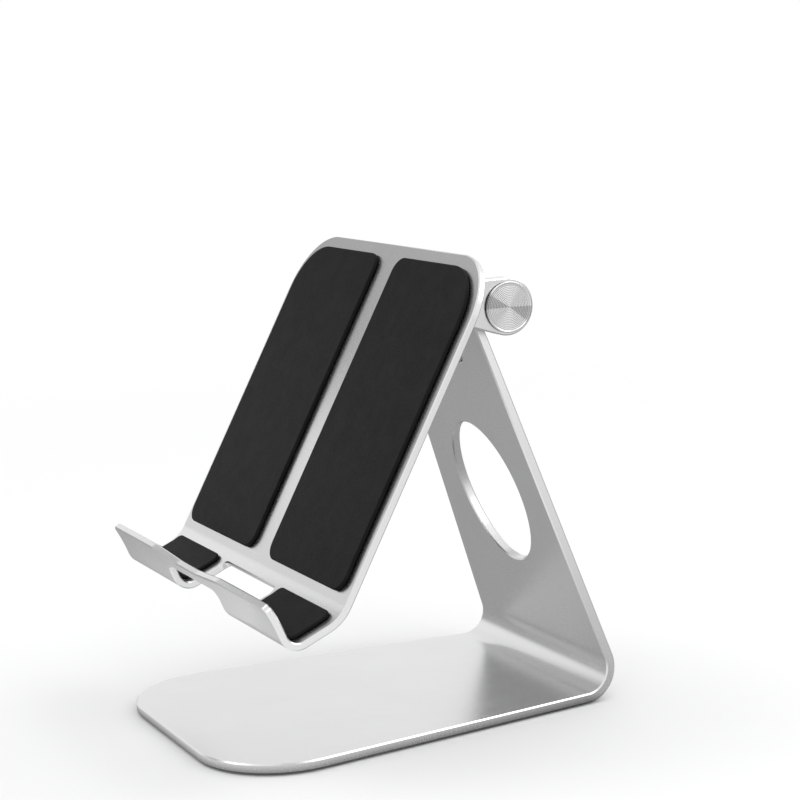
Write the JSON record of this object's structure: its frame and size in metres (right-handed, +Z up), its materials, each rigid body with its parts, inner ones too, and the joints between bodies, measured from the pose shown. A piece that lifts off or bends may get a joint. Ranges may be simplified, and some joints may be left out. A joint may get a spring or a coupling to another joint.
{
  "type": "tablet stand",
  "caption": "Desk stand for a tablet: a folded aluminium base and upright with a cable hole, and a hooked tray that tilts on a friction hinge.",
  "frame": {"origin": "on the table, under the middle of the stand's bounding box, in its mirror plane", "axes": "+X to the stand's right as seen from its user, +Y to the back, +Z up; the stand faces -Y and the hinge line runs along X"},
  "size_m": [0.1554, 0.1613, 0.1735],
  "materials": {
    "satin_aluminium": "fine-blasted silver anodised, satin, with bright cut edges",
    "turned_aluminium": "bright, turned in fine concentric rings",
    "steel": "plain zinc-plated",
    "silicone": "matte black silicone",
    "nylon": "natural white nylon"
  },
  "bodies": {
    "stand": {"base_bracket": "satin_aluminium", "foot_front_left": "silicone", "foot_front_right": "silicone", "foot_rear_left": "silicone", "foot_rear_right": "silicone", "hinge_barrel": "satin_aluminium", "leaf_screw_left": "steel", "leaf_screw_middle": "steel", "leaf_screw_right": "steel", "hinge_bush_left": "nylon", "hinge_bush_right": "nylon"},
    "tray": {"tray_bracket": "satin_aluminium", "tray_plate": "satin_aluminium", "end_cap_left": "turned_aluminium", "end_cap_right": "turned_aluminium", "spring_washer_left": "steel", "spring_washer_right": "steel", "hinge_bolt": "steel", "hinge_nut": "steel", "tray_screw_lower_left": "steel", "tray_screw_lower_right": "steel", "tray_screw_upper_left": "steel", "tray_screw_upper_right": "steel", "back_pad_left": "silicone", "back_pad_right": "silicone", "hook_pad_left": "silicone", "hook_pad_right": "silicone", "friction_washer_left": "nylon", "friction_washer_right": "nylon"}
  },
  "joints": [
    {"name": "tray_tilt", "type": "hinge", "parent": "stand", "child": "tray", "pos_m": [0, 0.04369, 0.15221], "axis": [1, 0, 0], "range_deg": [-90, 38]}
  ]
}
